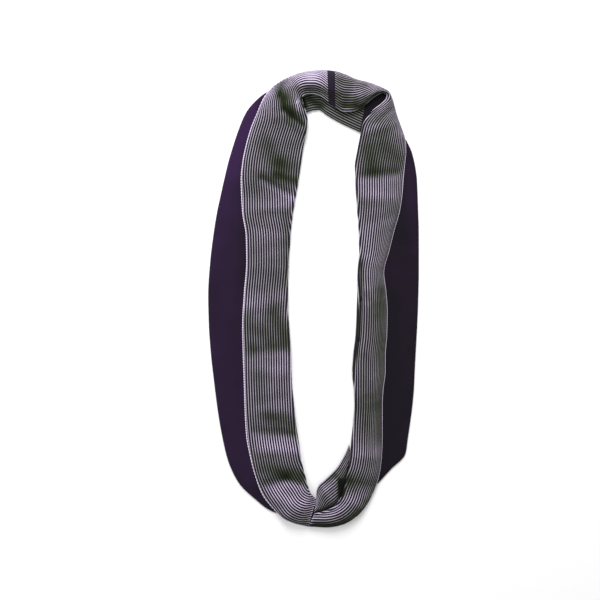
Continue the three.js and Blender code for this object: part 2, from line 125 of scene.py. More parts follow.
# Folded edge, border and heights of the striped flap, once round the loop
FLAP_ROWS = (
    (316.5, 498, 308, 526, 2.8, 9, 10, 0, 0),
    (311, 493, 297, 523.5, 2.8, 11, 18, 0, 0),
    (308.5, 487, 285, 518.5, 2.8, 9.5, 17, 2.8, 0),
    (306, 478, 273, 507, 0, 7, 12.5, 2.8, 0),
    (303.5, 469, 263, 494, 0, 8, 9.5, 2.8, 0),
    (301, 458, 256, 476, 0, 9, 12, 2.8, 0),
    (299.5, 446, 250.5, 455, 0, 7.5, 9.5, 2.8, 0),
    (297.5, 432, 247, 436, 0, 6.2, 7, 2.8, 0),
    (294.5, 410, 245.5, 412, 0, 6.4, 8.2, 2.8, 0),
    (292, 380, 244.5, 380, 0, 6.6, 9.2, 2.8, 0),
    (291, 352, 243.5, 352, 0, 6.2, 6.8, 2.8, 0),
    (289, 325, 243, 325, 0, 6.4, 8.5, 2.8, 0),
    (288, 295, 244.5, 295, 0, 6.4, 9, 2.8, 0),
    (289, 262, 247, 262, 0, 6.4, 9.4, 2.8, 0),
    (290.5, 236, 246.5, 236, 0, 6.4, 9.6, 2.8, 0),
    (293, 213, 243, 213, 0, 6.4, 9.2, 2.8, 0),
    (295.5, 198, 242, 197, 0, 6.2, 6.6, 2.8, 0),
    (298, 184, 241.5, 180, 0, 7, 9.5, 2.8, 0),
    (300.5, 166, 243.2, 162, 0, 8, 12, 2.8, 0),
    (303, 149, 246, 148, 0, 8.5, 12.5, 2.8, 0),
    (306, 134, 251, 130, 4, 11, 13.5, 2.8, 0),
    (307.5, 122, 257.5, 114, 5.8, 12.5, 15, 2.8, 0),
    (306.5, 113, 264, 99, 5.8, 13, 17.5, 2.8, 0),
    (304, 107, 273, 87.5, 5.8, 12, 14, 2.8, 0),
    (301.5, 102, 286, 78.5, 5.8, 11, 9.6, 0, 0),
    (303, 98, 297, 73.8, 5.8, 12, 17, 0, 0),
    (307.5, 96, 307, 71.3, 5.8, 12, 20, 0, 0),
    (313, 95.8, 315.5, 70.5, 5.8, 12, 21, 0, 0),
    (320.5, 98, 321.5, 70.2, 5.8, 12, 21, 0, 0),
    (328.3, 103.5, 327.1, 70.3, 5.8, 12, 20, 0, 0),
    (335.3, 108.8, 334.7, 71.2, 5.8, 12, 19, 0, 0),
    (343.8, 113.5, 346, 74.8, 5.8, 12, 17, 0, 0),
    (351.4, 113.3, 356, 79.3, 5.8, 12, 17.5, 0, 0),
    (359.4, 110.3, 365, 81.6, 5.8, 12, 18.5, 0, 0),
    (366, 105.5, 373, 83.8, 5.8, 12, 18.5, 0, 0),
    (372, 100, 379, 86.2, 5.8, 12, 17.5, 0, 0),
    (378, 96, 384.5, 88.7, 5.8, 11.5, 15.5, 0, 0),
    (383, 94, 389, 91.6, 5.8, 11, 13.5, 0, 0),
    (385.6, 95.5, 391.4, 96.2, 5.8, 11, 12.5, 0, 0),
    (385, 99, 393.2, 101, 5.8, 11, 13, 0, 0),
    (380, 104.5, 394.8, 107, 5.8, 11, 13.5, 0, 0),
    (373, 110.5, 396.5, 113.5, 5.8, 11, 14, 0, 0),
    (367, 117.5, 399.3, 122, 5.8, 11, 14.5, 0, 0),
    (362.5, 125.5, 402.5, 131, 5.8, 11, 14.5, 0.8, 0),
    (360, 137, 405, 140, 4, 10, 13.5, 2.8, 0),
    (357, 152, 405.5, 152, 0, 8, 12, 2.8, 0),
    (354.8, 166, 404.2, 166, 0, 7, 9.5, 2.8, 0),
    (354.7, 178, 403, 178, 0, 6.2, 7, 2.8, 0),
    (355.8, 192, 402, 192, 0, 6.4, 9, 2.8, 0),
    (357, 210, 399.5, 210, 0, 6.6, 10, 2.8, 0),
    (358.5, 230, 394, 230, 0, 6.6, 10, 2.8, 0),
    (359, 250, 389, 250, 0, 6.6, 10, 2.8, 0),
    (357.5, 273, 383.5, 273, 0, 6.6, 10, 2.8, 0.6),
    (357, 292, 385.5, 290, 0, 7, 10, 2.8, 1.8),
    (356.5, 315, 387, 312, 0, 7.4, 10, 2.8, 2.6),
    (355.5, 335, 386.5, 335, 0, 7.4, 9.6, 2.8, 2.6),
    (353, 355, 385, 355, 0, 7.4, 9.4, 2.8, 2.6),
    (352, 370, 385, 370, 0, 7, 9.2, 2.8, 1.8),
    (353.5, 388, 383, 388, 0, 6.4, 9, 2.8, 0.4),
    (354.5, 404, 382, 403, 0, 6.4, 9, 2.8, 0),
    (353, 420, 382, 420, 0, 6.4, 9.2, 2.8, 0),
    (351.5, 436, 382, 437, 0, 7, 10, 2.8, 0),
    (350.5, 450, 381.5, 452, 2.8, 9, 12, 2.8, 0),
    (349, 464, 380, 468, 2.8, 10, 13, 2.8, 0),
    (346.5, 476, 376.5, 483, 2.8, 9.5, 11, 2.8, 0),
    (344, 486, 372.5, 493, 2.8, 9, 9.5, 2.8, 0),
    (341.5, 495, 366, 505.5, 2.8, 10, 13.5, 0, 0),
    (337, 502, 356.5, 516, 2.8, 11, 17, 0, 0),
    (330, 507.5, 343, 524, 2.8, 11, 16, 0, 0),
    (322, 510.7, 327, 527, 2.8, 10, 13, 0, 0),
    (314, 513, 308, 526, 2.8, 9, 10, 0, 0),
)

# First and last row of each stretch of the flap
STRETCHES = {
    "left_flap": (0, 24),
    "arch_flap": (24, 29),
    "join_strip": (29, 30),
    "shoulder_flap": (30, 44),
    "right_flap": (44, 64),
    "bottom_flap": (64, 70),
}

# Ribs that do not fit a section: the share rolled over the fold, and the share of
# the rest squeezed towards the border
RUN_COLUMNS = ("row", "roll", "squeeze")
RUN_ROWS = (
    (0, 1, 1),
    (20, 1, 1),
    (22, 0.2, 1),
    (25, 0, 0.3),
    (29, 0, 0.15),
    (34, 0, 0.3),
    (40, 0, 0.6),
    (44, 0.3, 0.8),
    (50, 0.5, 1),
    (62, 0.5, 1),
    (66, 0.6, 0.3),
    (70, 0.6, 0),
)

# The bulge, with the flap's columns
BULGE_ROWS = (
    (316.5, 498, 313.6, 512.3, 2.8, 9, 10, 2.8, 0),
    (316.3, 491, 321.7, 510, 2.8, 10, 14, 2.8, 0),
    (319, 484, 329.5, 506.8, 2.8, 10, 17, 2.8, 0),
    (324, 479.5, 336.3, 501.5, 2.8, 10, 17, 2.8, 0),
    (330, 474, 340.9, 494.6, 2.8, 10, 14, 2.8, 0),
    (336.6, 467, 343.4, 485.6, 2.8, 9.5, 12, 2.8, 0),
    (341.5, 459.5, 346, 475.4, 2.8, 9, 10.5, 2.8, 0),
    (345.8, 451.5, 348.6, 463.2, 2.8, 8.6, 9.5, 2.8, 0),
    (349, 443.6, 350.1, 450.6, 2.8, 8, 8, 2.8, 0),
)

# Edges and height of the under layers. The rows of the left and right ones were worked
# out from the flap's rows, on whose lines they lie, and from the photo's outer edge.
LEFT_UNDER_ROWS = (
    (304.4, 492.4, 286.5, 516.5, WALL),
    (300.8, 482.6, 269.7, 509.9, WALL),
    (297.4, 472.8, 255.2, 498.8, WALL),
    (294.1, 460.7, 239, 482.8, WALL),
    (292.6, 447.3, 227.8, 459.2, WALL),
    (290.9, 432.5, 222.7, 437.9, WALL),
    (287.8, 410.3, 218.3, 413.1, WALL),
    (285.3, 380, 214, 380, WALL),
    (284.4, 352, 210.9, 352, WALL),
    (282.3, 325, 209, 325, WALL),
    (281.3, 295, 208.3, 295, WALL),
    (282.3, 262, 210.3, 262, WALL),
    (283.8, 236, 213.4, 236, WALL),
    (286.3, 213, 217, 213, WALL),
    (288.9, 197.9, 220.5, 196.6, WALL),
    (291.1, 183.5, 224.5, 178.8, WALL),
    (293.4, 165.5, 228.8, 161, WALL),
    (295.7, 148.9, 232.7, 147.8, WALL),
    (299.1, 133.5, 239, 129.1, WALL),
    (300.8, 120.9, 246.5, 112.2, WALL),
    (299.9, 110.8, 259.6, 97.5, WALL),
    (298.4, 103.5, 273.6, 87.9, WALL),
)

RIGHT_UNDER_ROWS = (
    (366.6, 137.4, 406, 140.1, WALL),
    (364.1, 152, 411.5, 152, WALL),
    (361.7, 166, 414.9, 166, WALL),
    (361.3, 178, 416.6, 178, WALL),
    (362.5, 192, 417.3, 192, WALL),
    (363.7, 210, 417.9, 210, WALL),
    (365.2, 230, 418.5, 230, WALL),
    (365.7, 250, 418.6, 250, WALL),
    (364.2, 273, 418.6, 273, WALL),
    (363.9, 291.5, 418.3, 287.7, WALL),
    (363.5, 314.3, 417.7, 309, WALL),
    (362.5, 335, 416.5, 335, WALL),
    (360, 355, 415.4, 355, WALL),
    (358.9, 370, 414.6, 370, WALL),
    (360.2, 388, 413.8, 388, WALL),
    (361.2, 403.8, 412.6, 401.9, WALL),
    (359.7, 420, 410.3, 420, WALL),
    (358.4, 436.2, 407.7, 437.8, WALL),
    (362.5, 450.8, 405.3, 453.4, WALL),
    (363, 465.8, 390.4, 469.3, WALL),
    (363.5, 480, 377.7, 483.3, WALL),
)

BOTTOM_UNDER_ROWS = (
    (306.5, 494.3, 288.4, 516, WALL),
    (308.5, 497.5, 298, 519.5, WALL),
    (313, 502, 309, 521.5, WALL),
    (318.8, 495, 322, 522, WALL),
    (321.5, 487, 336, 519, WALL),
    (328, 481, 348, 513.5, WALL),
    (334.5, 474.5, 356, 507, WALL),
    (341, 466, 361.5, 497, WALL),
    (346.5, 456.5, 361.3, 480, WALL),
)

ARCH_UNDER_ROWS = (
    (305, 113.5, 301, 86, 5),
    (309, 111.8, 306, 81, 5.2),
    (314, 110.5, 313, 78, 5.2),
    (319, 110.3, 321, 77, 5.2),
    (326, 115, 331, 77, 5.2),
    (333, 119.3, 341, 81, 5.2),
    (341, 123.7, 351, 86, 5.2),
    (350, 128, 359, 93, 5),
    (359.5, 132.3, 365.5, 104, 5),
)

POCKET_ROWS = (
    (359.5, 132.3, 365.5, 104, 5.2),
    (370, 128, 373, 97.5, 5.2),
    (379, 121, 378, 93.5, 5.2),
    (386.5, 112, 383, 93.5, 5.2),
    (388.8, 104.5, 386, 95.5, 5.2),
)

# Creases, listed one by one: ends in plan steps, height in millimetres (a trough is
# negative) and half width in plan steps
CREASES = (
    (262, 180, 298, 199, -2.0, 3.6),
    (262, 172, 296, 178, 1.6, 7),
    (262, 209, 292, 208, 1.4, 5),
    (252, 228, 286, 232, -0.7, 5),
    (255, 254, 288, 246, -0.9, 6),
    (250, 268, 286, 270, 0.8, 6),
    (247, 290, 262, 292, -1.0, 5),
    (252, 282, 287, 290, -0.6, 8),
    (246, 308, 286, 300, 1.0, 6),
    (254, 352, 291, 350, -1.8, 6),
    (246, 330, 260, 336, -0.7, 6),
    (258, 371, 291, 374, 1.6, 7),
    (252, 404, 293, 396, -0.7, 6),
    (260, 411, 293, 412, 0.9, 5),
    (254, 432, 297, 436, -2.0, 5),
    (258, 452, 300, 451, 2.2, 6),
    (264, 485, 286, 480, -2.8, 5),
    (286, 480, 307, 486, -2.4, 4),
    (276, 499, 298, 507, 2.0, 6),
    (296, 512, 309, 498, 0.9, 3),
    (284, 84, 280, 98, -2.2, 2.6),
    (280, 98, 284, 112, -2.8, 2.6),
    (284, 112, 303, 127, -3.0, 3),
    (271, 98, 276, 118, 1.6, 4.5),
    (292, 88, 301, 114, 1.8, 4),
    (266, 132, 284, 166, 0.8, 8),
    (300, 82, 309, 93, -0.6, 3),
    (323.5, 74, 324.5, 96, -0.7, 1.8),
    (338.5, 76, 340, 104, -0.7, 1.8),
    (354, 84, 347, 109, -2.2, 4),
    (366, 86, 360, 106, 1.2, 3.5),
    (376, 92, 362, 106, 1.2, 2.4),
    (386, 96, 372, 112, 1.2, 2.4),
    (392, 110, 376, 124, -1.2, 3),
    (398, 124, 366, 134, 1.0, 4),
    (358, 178, 402, 174, -2.0, 5),
    (360, 198, 394, 200, 1.6, 6),
    (372, 222, 396, 216, -0.9, 5),
    (360, 258, 384, 268, 0.8, 5),
    (361.5, 262, 360.5, 300, -2.2, 1.5),
    (360.5, 300, 358.5, 340, -2.4, 1.5),
    (358.5, 340, 353, 370, -2.4, 1.5),
    (366, 290, 374, 302, 1.0, 3.5),
    (368, 306, 364, 352, 1.4, 3.2),
    (376, 318, 375, 372, -0.9, 3),
    (370, 380, 366, 420, 0.9, 3.4),
    (356, 402, 376, 397, -0.7, 4),
    (354, 456, 379, 457, 1.4, 6),
    (348, 482, 375, 486, -1.3, 5),
    (343, 497, 362, 508, 1.4, 4),
    (331, 511, 341, 522, -0.7, 2.4),
    (320, 513, 323, 525, -0.8, 2),
    (322, 486, 333, 503, 1.2, 3),
    (318, 494, 328, 506, -0.7, 2),
    (336, 478, 343, 492, -2.4, 3),
)

# Painted shade (positive, towards olive grey; past a tone of one, the dark of a hollow) and
# painted light (negative, towards bright lilac, also where stretched ribs blur): ends in plan
# steps, amount, and half width in plan steps
PAINTED_SHADING = (
    (280, 87, 281, 99, 0.46, 6),
    (286, 100, 290, 113, 0.50, 7.5),
    (282, 104, 285, 114, 0.14, 3),
    (292, 120, 303, 129, 0.34, 6),
    (256, 124, 280, 127, 0.12, 8),
    (302.5, 100, 305, 107, 2.0, 2.2),
    (298, 111, 297, 104, -0.50, 1.6),
    (297, 103, 303, 97, -0.50, 1.6),
    (266, 100, 272, 112, -0.12, 5),
    (270, 130, 300, 139, -0.06, 5),
    (309, 100, 321, 106, 0.95, 3.4),
    (268, 146, 276, 162, 0.26, 11),
    (282, 165, 298, 171, 0.30, 9),
    (276, 175, 297, 182, 0.30, 4),
    (266, 193, 293, 197, -0.16, 6),
    (256, 108, 247, 180, -0.05, 7),
    (287, 215, 288, 285, 0.22, 4),
    (252, 256, 284, 262, 0.05, 8),
    (246, 303, 264, 306, -0.16, 6),
    (274, 312, 287, 340, 0.36, 9),
    (262, 328, 270, 344, 0.26, 8),
    (248, 318, 252, 350, 0.22, 7),
    (254, 352, 262, 398, 0.08, 6),
    (285, 360, 268, 392, -0.12, 7),
    (270, 416, 295, 424, 0.34, 7),
    (276, 428, 297, 434, 0.18, 4),
    (262, 442, 298, 450, -0.24, 6),
    (264, 467, 304, 476, 0.38, 8),
    (278, 490, 306, 512, -0.22, 8),
    (262, 500, 300, 522, -0.30, 6),
    (298, 82, 312, 80, -0.42, 8),
    (312, 80, 324, 84, -0.34, 9),
    (338, 80, 362, 86, 0.46, 7),
    (338, 94, 354, 99, 0.34, 5),
    (350, 96, 366, 90, -0.10, 4),
    (366, 86, 380, 90, 0.20, 4),
    (338, 106, 364, 108, 0.34, 4),
    (376, 116, 394, 126, 0.14, 9),
    (366, 148, 372, 172, 0.26, 8),
    (382, 146, 398, 158, 0.26, 10),
    (360, 188, 385, 198, -0.18, 10),
    (386, 196, 398, 214, 0.12, 7),
    (366, 232, 370, 285, -0.10, 7),
    (378, 262, 382, 290, 0.06, 6),
    (361, 264, 360.5, 300, 0.40, 1.6),
    (360.5, 300, 358.5, 340, 0.55, 1.5),
    (358.5, 340, 353, 370, 0.45, 1.5),
    (381, 290, 381, 440, 0.26, 6),
    (366, 360, 362, 440, 0.12, 7),
    (372, 400, 370, 460, 0.12, 9),
    (356, 405, 374, 404, 0.10, 5),
    (347, 480, 371, 484, 0.20, 9),
    (346, 474, 352, 488, 0.20, 5),
    (336, 510, 364, 500, 0.06, 5),
    (328, 476, 340, 466, 0.16, 6),
    (315, 524, 345, 525, 0.40, 4),
    (345, 519, 358, 509, 0.18, 4),
    (320, 486, 334, 474, 0.16, 5),
    (341, 481, 341, 493, 1.7, 2.8),
    (324, 500, 334, 486, 0.08, 6),
    (316, 500, 309, 523, -0.5, 2),
    (343, 458, 350, 446, 0.30, 3),
)

# The same on the plain face: painted sheen, violet (negative), and painted shade, near black
# (positive)
PLAIN_PAINTED_SHADING = (
    (250, 112, 232, 168, -0.75, 9),
    (228, 180, 218, 240, -0.25, 9),
    (247, 190, 246, 290, 0.30, 7),
    (240, 300, 240, 400, 0.12, 9),
    (258, 486, 274, 504, 0.35, 8),
    (410, 170, 415, 250, -0.20, 6),
    (386, 300, 386, 440, 0.25, 9),
    (380, 478, 398, 458, 0.30, 8),
)

# Middle tone of each cloth, for the plain layers a painted shade (the right layer and the pocket
# darkest), how much a slope facing the top of the loop, towards the key light, is painted
# lighter, and the least and greatest tone
PLAIN_SHADE_TONES = {"left_under": 0.58, "right_under": 0.95, "bottom_under": 0.7, "turn_pocket": 1.0}
PLAIN_SLOPE_LIGHT = 0.4
STRIPED_TONE = 0.46
STRIPED_SLOPE_LIGHT = 0.75
TONE_RANGE = (-1, 2)

# Colours are linear
LILAC = (0.80, 0.70, 0.88, 1.0)
# Painted shade: the light ribs' colour in shade
SHADED_OLIVE_GREY = (0.15, 0.205, 0.075, 1.0)
CHARCOAL = (0.024, 0.009, 0.046, 1.0)
# Painted shade: the dark ribs' colour in shade
SHADED_OLIVE_BLACK = (0.008, 0.012, 0.004, 1.0)
PURPLE = (0.031, 0.0105, 0.052, 1.0)
# Painted shade: the plain purple in shade, and the colour of the whole pocket
PURPLE_SHADE = (0.0062, 0.0034, 0.0082, 1.0)
STRIP_PURPLE = (0.016, 0.0100, 0.024, 1.0)
SELVEDGE = (0.80, 0.70, 0.88, 1.0)
FLOOR = (0.96, 0.96, 0.96, 1.0)

# Stripes: depth of a rib's toothed edge as a share of the pitch, how hard that edge is,
# how far painted light, a negative tone, fills the dark ribs, and how much painted shade dims a
# hollow
RIB_TOOTH = 0.16
RIB_EDGE = 5.0
PAINTED_LIGHT_FILL = 0.5
HOLLOW_SHADE_DIM = 0.9
STRIPED_DRIFT = 0.5
PLAIN_DRIFT = 0.6

# Finish of the yarn; the depth of its stitches is in metres
YARN_DULLEST = 0.72
YARN_SPREAD = 0.56
KNIT_ROUGHNESS = 0.82
SHEEN_ROUGHNESS = 0.45
KNIT_SPECULAR = 0.2
FUZZ = 0.35
STITCH_DEPTH = 0.0004

# Stage, in metres; the photo's middle is in plan steps
PHOTO_MIDDLE = (300.0, 300.0)
FLOOR_HALF = 3.0
FLOOR_DROP = 0.0005
SIDE_SHARE = 0.18
SENSOR_WIDTH = 36.0


def named(columns, rows):
    """Rows of a table as arrays that answer to their column names."""
    values = np.array(rows, dtype=float)
    return {name: values[:, k] for k, name in enumerate(columns)}


def slope_limited(x, y):
    """Slopes at the knots of a curve that never swings past its values."""
    h = np.diff(x)
    d = np.diff(y) / h
    slopes = np.zeros_like(y)
    slopes[0], slopes[-1] = d[0], d[-1]
    for k in range(1, len(y) - 1):
        if d[k - 1] * d[k] > 0:
            w1, w2 = 2 * h[k] + h[k - 1], h[k] + 2 * h[k - 1]
            slopes[k] = (w1 + w2) / (w1 / d[k - 1] + w2 / d[k])
    return slopes


def along_curve(x, y, at):
    """Values of the smooth curve through (x, y) at the given places."""
    slopes = slope_limited(x, y)
    k = np.clip(np.searchsorted(x, at, side="right") - 1, 0, len(x) - 2)
    h = x[k + 1] - x[k]
    t = (at - x[k]) / h
    return (
        y[k] * (2 * t**3 - 3 * t**2 + 1)
        + slopes[k] * h * (t**3 - 2 * t**2 + t)
        + y[k + 1] * (-2 * t**3 + 3 * t**2)
        + slopes[k + 1] * h * (t**3 - t**2)
    )


def row_places(table):
    """Distance of each row along the middle of a strip, in millimetres."""
    x = (table["inner_x"] + table["outer_x"]) / 2
    y = (table["inner_y"] + table["outer_y"]) / 2
    steps = np.hypot(np.diff(x), np.diff(y)) * GRID / MM
    return np.concatenate([[0], np.cumsum(steps)])


def finer_rows(table, first, last, step):
    """The rows from first to last of a table at about one step, seams left open."""
    places = row_places(table)
    start, end = places[first] + SEAM / 2, places[last] - SEAM / 2
    count = max(3, int(round((end - start) / step)) + 1)
    middle = np.linspace(start, end, count)[1:-1]
    at = np.concatenate([[start, start + SEAM_ROW], middle, [end - SEAM_ROW, end]])
    fine = {name: along_curve(places, values, at) for name, values in table.items()}
    fine["place"] = at
    return fine


def plan(x, y):
    """Plan steps in metres."""
    return (x - MIDDLE_X) * GRID, (MIDDLE_Y - y) * GRID


def flap_path(row, width):
    """Middle line of a flap section, border to tuck, as u and z in millimetres, and
    the number of its points that come before the outermost point of the fold."""
    half = WALL / 2
    radius = (row["roll"] - row["base"] - WALL) / 2
    turn_u, turn_z = half + radius, row["base"] + half + radius
    crown_u = CROWN_AT * width
    crown_z, roll_z = row["crown"] - half, row["roll"] - half
    span = width - half - crown_u
    laid = row["edge"] / LAID_HEIGHT
    power = 2 / (ROUND_EDGE + (LAID_EDGE - ROUND_EDGE) * laid)
    a = np.linspace(math.pi / 2, 0, BORDER_POINTS)
    outer_u = crown_u + span * np.sin(a) ** power
    outer_z = row["edge"] + (crown_z - row["edge"]) * np.cos(a)
    t = np.linspace(0, 1, INNER_POINTS)[1:]
    lift = (1 + np.cos(np.pi * t)) / 2
    inner_u = crown_u + (turn_u - crown_u) * t
    inner_z = roll_z + (crown_z - roll_z) * lift
    b = np.linspace(math.pi / 2, 1.5 * math.pi, BEND_POINTS + 1)[1:]
    roll_u = turn_u + radius * np.cos(b)
    bend_z = turn_z + radius * np.sin(b)
    tuck_u = turn_u + min(TUCK, TUCK_SHARE * width)
    u = np.concatenate([outer_u, inner_u, roll_u, [tuck_u]])
    z = np.concatenate([outer_z, inner_z, bend_z, [row["base"] + half]])
    away = (u - GROOVE_AT) / GROOVE_REACH
    z = z - np.where(z > WALL, row["groove"] * np.exp(-away * away), 0)
    return u, z, len(outer_u) + len(inner_u) + BEND_POINTS // 2


def rib_places(reach, ribs, pitch, per_rib, roll, squeeze):
    """Distances from the fold and rib numbers of a section's points. Ribs that do not
    fit are rolled over the fold, squeezed towards the border, or run off it."""
    spare = max(ribs - reach / pitch, 0)
    first = roll * spare
    extra = squeeze * (spare - first)
    pitch = min(pitch, reach / (ribs - spare))
    s = np.linspace(0, reach, RUN_POINTS)
    run = first + s / pitch + extra * (s / reach) ** SQUEEZE_POWER
    phase = np.linspace(run[0], run[-1], ribs * per_rib + 1)
    return np.interp(phase, run, s), phase


def from_stroke(x, y, x0, y0, x1, y1):
    """Share along a stroke of the nearest place on it, and the distance to that place."""
    dx, dy = x1 - x0, y1 - y0
    t = np.clip(((x - x0) * dx + (y - y0) * dy) / (dx * dx + dy * dy), 0, 1)
    return t, np.hypot(x - x0 - t * dx, y - y0 - t * dy)


def crease_height(x, y):
    """Sum of the listed creases at a plan step, in millimetres."""
    total = np.zeros_like(x)
    for x0, y0, x1, y1, rise, reach in CREASES:
        t, gap = from_stroke(x, y, x0, y0, x1, y1)
        uneven = 1 + 0.25 * np.sin(6.0 * t + x0) * np.sin(3.1 * t + y0)
        total += rise * uneven * np.exp(-((gap / reach) ** 2))
    return total


def soft_noise(x, y, size, seed):
    """Smooth noise over the plan, about -1 to 1, for arrays of points in metres."""
    flat = zip(np.ravel(x), np.ravel(y))
    values = [noise.noise(Vector((a / size, b / size, seed))) for a, b in flat]
    return np.array(values).reshape(np.shape(x))


def flap_grids(rows, ribs, pitch, per_rib, ribbed, roll, squeeze):
    """Outer and inner points of a folded flap, its stripe phase and its place along."""
    count = ribs * per_rib + 1 + TUCK_POINTS
    n = len(rows["place"])
    front, back = np.zeros((n, count, 3)), np.zeros((n, count, 3))
    phases = np.zeros((n, count))
    for i in range(n):
        row = {name: values[i] for name, values in rows.items()}
        ix, iy = plan(row["inner_x"], row["inner_y"])
        ox, oy = plan(row["outer_x"], row["outer_y"])
        width = math.hypot(ox - ix, oy - iy)
        ax, ay = (ox - ix) / width, (oy - iy) / width
        u, z, visible = flap_path(row, width / MM)
        run = np.concatenate([[0], np.cumsum(np.hypot(np.diff(u), np.diff(z)))])
        reach = run[visible - 1]
        places, phase = rib_places(reach, ribs, pitch, per_rib, roll[i], squeeze[i])
        s = np.concatenate([
            reach - places[::-1],
            np.linspace(reach, run[-1], TUCK_POINTS + 1)[1:],
        ])
        phases[i] = np.concatenate([phase[::-1], phase[0] - (s[-TUCK_POINTS:] - reach) / pitch])
        uu, zz = np.interp(s, run, u), np.interp(s, run, z)
        ahead, behind = s + NORMAL_REACH, s - NORMAL_REACH
        du = np.interp(ahead, run, u) - np.interp(behind, run, u)
        dz = np.interp(ahead, run, z) - np.interp(behind, run, z)
        size = np.maximum(np.hypot(du, dz), 1e-6)
        nu, nz = dz / size, -du / size
        px, py = row["inner_x"] + ax * uu * MM / GRID, row["inner_y"] - ay * uu * MM / GRID
        ease = np.clip(s / CREASE_FROM_BORDER, 0, 1)
        ease = ease * np.clip((reach - s) / CREASE_FROM_FOLD, 0, 1)
        lift = crease_height(px, py) * ease * ease * (3 - 2 * ease)
        local = np.gradient(s) / np.maximum(np.abs(np.gradient(phases[i])), 1e-6)
        rise = np.minimum(RIB_RISE, RIB_SLOPE * local) if ribbed else np.zeros_like(s)
        wave = 0.5 - 0.5 * np.cos(2 * np.pi * phases[i])
        out = WALL / 2 - RIB_RISE / 2 + rise * wave
        for grid, side in ((front, out), (back, -np.full_like(s, WALL / 2))):
            reach_u = (uu + nu * side) * MM
            grid[i, :, 0] = ix + ax * reach_u
            grid[i, :, 1] = iy + ay * reach_u
            grid[i, :, 2] = (zz + lift + nz * side) * MM
    return front, back, phases, rows["place"] * MM


def layer_grids(rows, count, lift):
    """Top and bottom points of an under layer, its place across and along."""
    n = len(rows["place"])
    front, back = np.zeros((n, count, 3)), np.zeros((n, count, 3))
    across = np.zeros((n, count))
    t = 0.5 - 0.5 * np.cos(np.linspace(0, np.pi, count))
    for i in range(n):
        row = {name: values[i] for name, values in rows.items()}
        ix, iy = plan(row["inner_x"], row["inner_y"])
        ox, oy = plan(row["outer_x"], row["outer_y"])
        width = math.hypot(ox - ix, oy - iy) / MM
        u = t * width
        lip = min(LIP_REACH, width / 4)
        share = np.clip(np.minimum(u, width - u) / lip, 0, 1)
        top = LIP + (row["height"] - LIP) * np.sqrt(np.clip(1 - (1 - share) ** 2, 0, 1))
        x, y = ix + (ox - ix) * t, iy + (oy - iy) * t
        wave = lift(x, y, u, width) if lift else np.zeros_like(u)
        for grid, z in ((front, top + wave), (back, np.zeros_like(u) + wave * 0.8)):
            grid[i, :, 0], grid[i, :, 1], grid[i, :, 2] = x, y, z * MM
        across[i] = u * MM
    return front, back, across, rows["place"] * MM


def sheet_object(name, front, back, across, along, face, lining):
    """A closed thin shell between two grids of points, with a UV map that holds the
    place across and along the cloth, its outer face first and its lining second."""
    n, m = front.shape[:2]
    for grid in (front, back):
        grid[:, :, 2] = np.maximum(grid[:, :, 2], LEAST_HEIGHT * MM)
    bm = bmesh.new()
    uv = bm.loops.layers.uv.new("cloth")
    outer = [[bm.verts.new(front[i, j]) for j in range(m)] for i in range(n)]
    inner = [[bm.verts.new(back[i, j]) for j in range(m)] for i in range(n)]

    def quad(cells, places, index):
        made = bm.faces.new(cells)
        made.material_index = index
        made.smooth = True
        for loop, (i, j) in zip(made.loops, places):
            loop[uv].uv = (across[i, j], along[i])

    for i in range(n - 1):
        for j in range(m - 1):
            spots = ((i, j), (i + 1, j), (i + 1, j + 1), (i, j + 1))
            quad([outer[a][b] for a, b in spots], spots, 0)
            quad([inner[a][b] for a, b in reversed(spots)], spots[::-1], 1)
        for j in (0, m - 1):
            spots = ((i, j), (i + 1, j), (i + 1, j), (i, j))
            cells = [outer[i][j], outer[i + 1][j], inner[i + 1][j], inner[i][j]]
            quad(cells if j else cells[::-1], spots if j else spots[::-1], 0)
    for i in (0, n - 1):
        for j in range(m - 1):
            spots = ((i, j), (i, j + 1), (i, j + 1), (i, j))
            cells = [outer[i][j], outer[i][j + 1], inner[i][j + 1], inner[i][j]]
            quad(cells[::-1] if i else cells, spots[::-1] if i else spots, 0)
    bmesh.ops.recalc_face_normals(bm, faces=bm.faces)
    rim = [outer[i][j] for i in range(n) for j in range(m) if i in (0, n - 1)]
    rim += [outer[i][m - 1] for i in range(n)] + [outer[i][0] for i in range(n)]
    marked = set(rim)
    for edge in bm.edges:
        if edge.verts[0] in marked and edge.verts[1] in marked:
            edge.smooth = False
    mesh = bpy.data.meshes.new(name)
    bm.to_mesh(mesh)
    bm.free()
    mesh.materials.append(face)
    mesh.materials.append(lining)
    made = bpy.data.objects.new(name, mesh)
    bpy.context.scene.collection.objects.link(made)
    return made


def shading_sum(x, y, shading):
    """Sum of the listed patches of painted light and shade at a plan step."""
    total = np.zeros_like(x)
    for x0, y0, x1, y1, amount, reach in shading:
        gap = from_stroke(x, y, x0, y0, x1, y1)[1]
        total += amount * np.exp(-((gap / reach) ** 2))
    return total


def paint_light_and_shade(piece, middle=STRIPED_TONE, slope=STRIPED_SLOPE_LIGHT, shading=PAINTED_SHADING):
    """Stores a tone at each point that paints light and shade: the listed patches, and the fall
    of the folds towards and away from the key light.
    """
    mesh = piece.data
    count = len(mesh.vertices)
    places, normals = np.zeros(3 * count), np.zeros(3 * count)
    mesh.vertices.foreach_get("co", places)
    mesh.vertex_normals.foreach_get("vector", normals)
    x = places[0::3] / GRID + MIDDLE_X
    y = MIDDLE_Y - places[1::3] / GRID
    # Painted light and shade: a slope facing the top of the loop, towards the key light, is
    # painted lighter, one facing away darker
    tone = np.clip(middle + shading_sum(x, y, shading) - slope * normals[1::3], *TONE_RANGE)
    layer = mesh.attributes.new("tone", "FLOAT", "POINT")
    layer.data.foreach_set("value", tone)


# Materials

def socket_input(group, name, kind="NodeSocketFloat", value=None):
    made = group.interface.new_socket(name, in_out="INPUT", socket_type=kind)
    if value is not None:
        made.default_value = value
    return made


